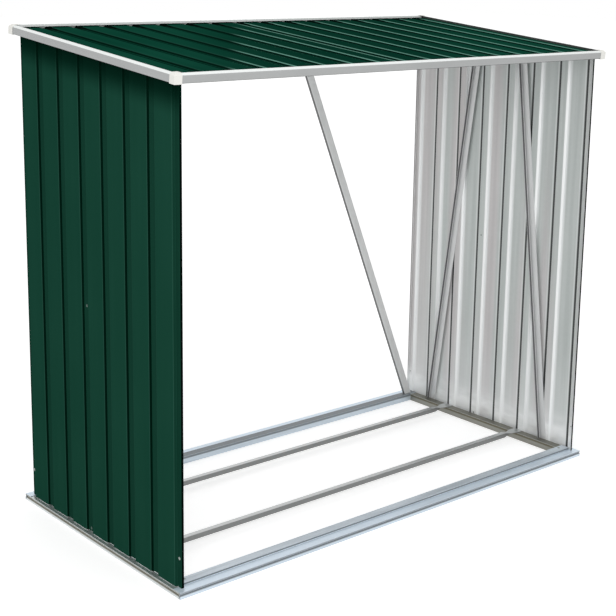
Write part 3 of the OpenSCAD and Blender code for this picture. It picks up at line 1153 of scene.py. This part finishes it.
@dataclass
class Roof:
    """Roof sheets with the rails under them, the edge trims and the corner caps.

    Attributes:
        palette: the shared materials.
        slope: angle of the roof.
        side: how the sides of a groove look, across the roof and up.
        bend: how far a bend of a sheet reaches.
        wear_and_highlight_depth: bends deeper than this get no wear or painted highlight.
        sunk: faces further below the pans than this are floors of grooves.
        trim_bend: how far a bend of a trim reaches.
        cap_bend: rounding of a cap.
        cap_edge: the shortest edge of a cap that is rounded.
    """

    palette: Palette
    slope: float
    side: tuple[float, float] = (0.83, 0.56)
    bend: float = 0.0024
    wear_and_highlight_depth: float = 0.003
    sunk: float = 0.004
    trim_bend: float = 0.0012
    cap_bend: float = 0.0009
    cap_edge: float = 0.004

    def build(self) -> list[bpy.types.Object]:
        """Makes the pieces of the roof."""
        return self._rails() + self._sheets() + self._trims() + self._caps()

    def _rails(self) -> list[bpy.types.Object]:
        """Makes the top rails.

        Returns:
            The pieces.
        """
        zincs = {
            "front": self.palette.floor_zinc,
            "back": self.palette.floor_zinc,
            "left": self.palette.side_zinc,
            "right": self.palette.side_zinc,
        }
        return [
            FoldedPiece(f"top_rail_{side}", Slot.ZINC, zinc).build()
            for side, zinc in zincs.items()
        ]

    def _sheets(self) -> list[bpy.types.Object]:
        """Makes the profiled sheets.

        Returns:
            The pieces.
        """
        across, up = self.side
        outward = Vector((0.0, -math.sin(self.slope), math.cos(self.slope)))
        # painted shade on the floors and sides of the grooves
        grooves = (
            Patch(Mark.GROOVE, tuple(outward), 0.8, 15.0, sunk=self.sunk),
            Patch(Mark.GROOVE, (across, 0.0, up), 0.9),
            Patch(Mark.GROOVE, (-across, 0.0, up), 0.9),
        )
        return [
            FoldedPiece(
                name,
                Slot.LACQUER,
                self.palette.roof_green,
                self.palette.roof_zinc,
                outward=outward,
                bend=self.bend,
                wear_and_highlight_depth=self.wear_and_highlight_depth,
                patches=grooves,
            ).build()
            for name in ("roof_sheet_left", "roof_sheet_right")
        ]

    def _trims(self) -> list[bpy.types.Object]:
        """Makes the edge trims.

        Returns:
            The pieces.
        """
        # inner edges: painted shade on the front and side trims, painted highlight on the back trim
        inward = {
            "front": (Mark.SHADE_AND_PAINT, BACK),
            "back": (Mark.SHINE, FRONT),
            "left": (Mark.SHADE_AND_PAINT, RIGHT),
            "right": (Mark.SHADE_AND_PAINT, LEFT),
        }
        return [
            FoldedPiece(
                f"roof_trim_{side}",
                Slot.TRIM,
                self.palette.trim,
                bend=self.trim_bend,
                patches=(
                    # painted highlight on top, painted shade on the lower bend
                    Patch(Mark.SHINE, UP, 1.0, 60.0),
                    Patch(mark, inner, 1.0),
                    Patch(Mark.SHADE_AND_PAINT, DOWN, 1.0, 75.0),
                ),
            ).build()
            for side, (mark, inner) in inward.items()
        ]

    def _caps(self) -> list[bpy.types.Object]:
        """Makes the corner caps.

        Returns:
            The pieces.
        """
        return [
            FoldedPiece(
                f"roof_cap_{corner}",
                Slot.CAP,
                self.palette.cap,
                bend=self.cap_bend,
                shortest=self.cap_edge,
            ).build()
            for corner in ("front_left", "front_right", "back_left", "back_right")
        ]


@dataclass(frozen=True)
class Seat:
    """Where a screw sits.

    Attributes:
        place: middle of its washer.
        axis: direction that its head points in.
        shade_and_paint: how far it is painted over.
    """

    place: Vector
    axis: Vector
    shade_and_paint: float = 0.0


@dataclass
class Screws:
    """Domed screws with washers, set on the pieces by a geometry tree.

    Attributes:
        palette: the shared materials.
        depth: depth of a groove in a wall.
        lap: place of the screwed groove along a wall.
        lap_heights: heights of the screws in that groove.
        painted: how far those screws are painted over.
        edge: height of the screws in the upright edges, and their distance in from the ends.
        tab_in: distance of the floor rails' screws in from the ends of these rails.
        corner_in: distance of the corner screws in from those ends and from the base's edge.
        head: radius and height of a head.
        washer: radius and thickness of a washer.
        corners: corners round a head and a washer.
        rings: rings of a head's dome.
    """

    palette: Palette
    depth: float = 0.0066
    lap: float = 0.0578
    lap_heights: tuple[float, ...] = (0.029, 0.715)
    painted: float = 0.8
    edge: tuple[float, float] = (0.105, 0.0095)
    tab_in: float = 0.016
    corner_in: tuple[float, float] = (0.03, 0.054)
    head: tuple[float, float] = (0.0028, 0.0022)
    washer: tuple[float, float] = (0.0045, 0.0009)
    corners: int = 14
    rings: int = 8

    def seats(self) -> list[Seat]:
        """Every seat of a screw."""
        return self._on_base() + self._on_walls()

    def _on_base(self) -> list[Seat]:
        """Screws that hold the floor rails and the corners of the base frame.

        Returns:
            Their seats.
        """
        up = Vector(UP)
        low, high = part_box("base_rail_front")
        _, rail_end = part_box("floor_rail_front")
        found = []
        for name in ("floor_rail_front", "floor_rail_back"):
            rail_low, rail_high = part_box(name)
            middle = (rail_low.y + rail_high.y) / 2
            for side in (-1.0, 1.0):
                along = side * (rail_end.x - self.tab_in)
                found.append(Seat(Vector((along, middle, high.z)), up))
        for side in (-1.0, 1.0):
            for end in (-1.0, 1.0):
                along = side * (rail_end.x - self.corner_in[0])
                across = end * (low.y + self.corner_in[1])
                found.append(Seat(Vector((along, across, high.z)), up))
        return found

    def _on_walls(self) -> list[Seat]:
        """Screws in the middle groove and the upright edges of the walls.

        Returns:
            Their seats.
        """
        found = []
        for name, out in (("wall_left", -1.0), ("wall_right", 1.0)):
            low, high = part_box(name)
            seat = (low.x if out < 0.0 else high.x) - out * self.depth
            heads = [(self.lap, height, self.painted) for height in self.lap_heights]
            height, inset = self.edge
            heads += [(end * (high.y - inset), height, 0.0) for end in (-1.0, 1.0)]
            for along, height, shade_and_paint in heads:
                place = Vector((seat, along, height))
                found.append(Seat(place, Vector((out, 0.0, 0.0)), shade_and_paint))
        return found

    def build(self) -> bpy.types.Object:
        """Makes the screws as one plain mesh.

        Returns:
            The piece.
        """
        found = self.seats()
        seats = bpy.data.meshes.new("screw_seats")
        seats.from_pydata([seat.place for seat in found], [], [])
        axes = seats.attributes.new(Mark.AXIS.value, "FLOAT_VECTOR", "POINT")
        axes.data.foreach_set("vector", [part for seat in found for part in seat.axis])
        coats = seats.attributes.new(Mark.SHADE_AND_PAINT.value, "FLOAT", "POINT")
        coats.data.foreach_set("value", [seat.shade_and_paint for seat in found])
        holder = new_object("screw_seats", seats)
        modifier = holder.modifiers.new("screws", "NODES")
        modifier.node_group = self._tree()
        sizes = {
            "Head Radius": self.head[0],
            "Head Height": self.head[1],
            "Washer Radius": self.washer[0],
            "Washer Thickness": self.washer[1],
        }
        for item in modifier.node_group.interface.items_tree:
            if item.name in sizes:
                modifier[item.identifier] = sizes[item.name]
        evaluated = holder.evaluated_get(bpy.context.evaluated_depsgraph_get())
        mesh = bpy.data.meshes.new_from_object(evaluated)
        holder.modifiers.remove(modifier)
        bpy.data.objects.remove(holder)
        mesh.name = "screws"
        piece = new_object("screws", mesh)
        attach(piece, BODY)
        return piece

    def _tree(self) -> bpy.types.GeometryNodeTree:
        """Builds the tree that puts a screw on each seat.

        Returns:
            The tree.
        """
        tree = bpy.data.node_groups.new("screws", "GeometryNodeTree")
        graph = Graph(tree)
        face = tree.interface
        face.new_socket("Geometry", in_out="INPUT", socket_type="NodeSocketGeometry")
        for name in ("Head Radius", "Head Height", "Washer Radius", "Washer Thickness"):
            face.new_socket(name, in_out="INPUT", socket_type="NodeSocketFloat")
        face.new_socket("Geometry", in_out="OUTPUT", socket_type="NodeSocketGeometry")

        def given(name: str) -> Value:
            """One of the tree's inputs."""
            return graph.node("NodeGroupInput", output=name)

        disc = graph.node(
            "GeometryNodeMeshCylinder",
            {"fill_type": "NGON"},
            {
                "Vertices": self.corners,
                "Radius": given("Washer Radius"),
                "Depth": given("Washer Thickness"),
            },
            "Mesh",
        )
        dome = graph.node(
            "GeometryNodeMeshUVSphere",
            {},
            {"Segments": self.corners, "Rings": self.rings},
            "Mesh",
        )
        size = graph.node(
            "ShaderNodeCombineXYZ",
            {},
            {"X": given("Head Radius"), "Y": given("Head Radius"), "Z": given("Head Height")},
        )
        head = graph.node("GeometryNodeTransform", {}, {"Geometry": dome, "Scale": size})
        screw = graph.node("GeometryNodeJoinGeometry")
        for part in (disc, head):
            tree.links.new(part.socket, screw.socket.node.inputs[0])
        direction = graph.node(
            "GeometryNodeInputNamedAttribute",
            {"data_type": "FLOAT_VECTOR"},
            {"Name": Mark.AXIS.value},
            "Attribute",
        )
        turn = graph.node(
            "FunctionNodeAlignRotationToVector", {"axis": "Z"}, {"Vector": direction}
        )
        placed = graph.node(
            "GeometryNodeInstanceOnPoints",
            {},
            {"Points": given("Geometry"), "Instance": screw, "Rotation": turn},
        )
        real = graph.node("GeometryNodeRealizeInstances", {}, {"Geometry": placed})
        zinc = graph.node(
            "GeometryNodeSetMaterial",
            {},
            {"Geometry": real, "Material": self.palette.screw_zinc},
        )
        graph.node("NodeGroupOutput", {}, {"Geometry": zinc})
        return tree


@dataclass
class Studio:
    """White floor and surroundings, soft lights and the camera.

    Attributes:
        eye: the camera's place.
        yaw: turn of the camera about Z, degrees.
        pitch: how far it looks down, degrees.
        roll: its lean, degrees.
        focal: focal length in pixels of the photograph.
        shift: vertical shift of the picture.
        sensor: width of the film.
        ambient: strength of the surroundings as light.
        floor_half: half the width of the floor.
        floor_white: colour of the floor.
        lift: what the camera sees on the floor besides the light on it.
        key_place: place of the soft light.
        key_aim: place that it points at.
        key_size: its width.
        key_power: its power.
    """

    eye: Point = (-2.7073, -3.1276, 1.6998)
    yaw: float = -40.324
    pitch: float = 11.861
    roll: float = 0.850
    focal: float = 1309.6
    shift: float = -0.12
    sensor: float = 36.0
    ambient: float = 0.80
    floor_half: float = 30.0
    floor_white: Colour = (0.80, 0.80, 0.80)
    lift: Colour = (0.49, 0.49, 0.49)
    key_place: Point = (-3.4, -4.2, 3.2)
    key_aim: Point = (0.0, 0.0, 0.7)
    key_size: float = 3.0
    key_power: float = 90.0

    def build(self) -> None:
        """Sets the stage."""
        bpy.context.scene.view_settings.view_transform = "Standard"
        self._surroundings()
        self._floor()
        self._key()
        self._camera()

    @staticmethod
    def _seen(graph: Graph) -> Value:
        """A switch for rays that see the background as it is.

        Args:
            graph: the shader that asks.

        Returns:
            1 for camera, glossy and transmission rays, else 0.
        """
        ray = graph.node("ShaderNodeLightPath", output="Is Camera Ray")
        outputs = ray.socket.node.outputs
        glossy = Value(graph, outputs["Is Glossy Ray"])
        through = Value(graph, outputs["Is Transmission Ray"])
        return (ray + glossy + through).clamp()

    def _surroundings(self) -> None:
        """White surroundings that light the object at a plain level."""
        world = bpy.data.worlds.new("surroundings")
        bpy.context.scene.world = world
        world.use_nodes = True
        graph = Graph(world.node_tree)
        strength = self.ambient + (1.0 - self.ambient) * self._seen(graph)
        light = graph.node(
            "ShaderNodeBackground", {}, {"Color": (1.0, 1.0, 1.0), "Strength": strength}
        )
        graph.node("ShaderNodeOutputWorld", {}, {"Surface": light})

    def _floor(self) -> None:
        """White floor that keeps the object's shadow."""
        half = self.floor_half
        mesh = bpy.data.meshes.new("floor")
        corners = [(-half, -half, 0.0), (half, -half, 0.0), (half, half, 0.0), (-half, half, 0.0)]
        mesh.from_pydata(corners, [], [(0, 1, 2, 3)])
        paint = Paint("floor_white")
        mesh.materials.append(
            paint.surface(
                {
                    "Base Color": self.floor_white,
                    "Roughness": 0.9,
                    "Specular IOR Level": 0.0,
                    "Emission Color": paint.blend(self._seen(paint), (0.0, 0.0, 0.0), self.lift),
                    "Emission Strength": 1.0,
                }
            )
        )
        floor = new_object("floor", mesh)

    def _key(self) -> None:
        """A large soft light in front."""
        lamp = bpy.data.lights.new("key", "AREA")
        lamp.shape = "SQUARE"
        lamp.size = self.key_size
        lamp.energy = self.key_power
        key = new_object("key", lamp)
        key.location = self.key_place
        aim = Vector(self.key_aim) - Vector(self.key_place)
        key.rotation_euler = aim.to_track_quat("-Z", "Y").to_euler()

    def _camera(self) -> None:
        """The camera at the photograph's angle."""
        lens = bpy.data.cameras.new("camera")
        lens.sensor_width = self.sensor
        lens.lens = self.focal / PHOTO_SIDE * self.sensor
        lens.shift_y = self.shift
        camera = new_object("camera", lens)
        turn = (
            Matrix.Rotation(math.radians(self.yaw), 4, "Z")
            @ Matrix.Rotation(math.radians(90.0 - self.pitch), 4, "X")
            @ Matrix.Rotation(math.radians(self.roll), 4, "Z")
        )
        camera.matrix_world = Matrix.Translation(self.eye) @ turn
        bpy.context.scene.camera = camera


def wall_rib_shadows() -> tuple[float, float]:
    """Finds where the painted shadow lines behind a wall's ribs lie: where the ribs end towards the
    back.

    Returns:
        The first rib's end along Y and the pitch of the ribs.
    """
    low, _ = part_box("wall_left")
    outer = {
        round(vert.co.y, 5)
        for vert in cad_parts["wall_left"].data.vertices
        if vert.co.x < low.x + MERGE
    }
    edges = sorted(outer)
    return edges[2], edges[2] - edges[0]


def wall_top(above: float = 1.0) -> tuple[float, float]:
    """Finds the sloping top of the walls.

    Args:
        above: height that only corners of the top lie above.

    Returns:
        Its height at Y 0 and its rise along Y.
    """
    verts = [vert.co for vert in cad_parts["wall_left"].data.vertices]
    top = [place for place in verts if place.z > above]
    front = min(top, key=lambda place: place.y)
    back = max(top, key=lambda place: place.y)
    rise = (back.z - front.z) / (back.y - front.y)
    return front.z - rise * front.y, rise


def roof_lap(slope: float, lap_highlight_width: float = 0.009) -> tuple[float, float]:
    """Finds the edge of the groove that the roof sheets lap in.

    Args:
        slope: angle of the roof.
        lap_highlight_width: width of the painted highlight strip beside it.

    Returns:
        The strip's start along X and its width.
    """
    outward = Vector((0.0, -math.sin(slope), math.cos(slope)))
    verts = [vert.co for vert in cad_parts["roof_sheet_left"].data.vertices]
    top = max(place.dot(outward) for place in verts)
    edge = max(place.x for place in verts if place.dot(outward) > top - TOUCH)
    return edge - lap_highlight_width, lap_highlight_width


def back_shade(reach: float = 0.032, sooner: float = 0.035) -> tuple[float, float]:
    """Finds where along Y the back trim's shade starts on the roof, and how much sooner in grooves."""
    edge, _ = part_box("roof_trim_back")
    return edge.y - reach, sooner


def main() -> None:
    """Builds the log store's looks and the stage."""
    logging.basicConfig(level=logging.INFO, format="%(name)s: %(message)s")
    eaves = wall_top()
    slope = math.atan(eaves[1])
    palette = Palette(wall_rib_shadows(), eaves, roof_lap(slope), back_shade())
    pieces = BaseFrame(palette).build()
    pieces += Walls(palette).build()
    pieces += Roof(palette, slope).build()
    pieces.append(Screws(palette).build())
    Studio().build()
    for piece in pieces:
        log.info("%s: %d faces", piece.name, len(piece.data.polygons))


if __name__ == "__main__":
    main()
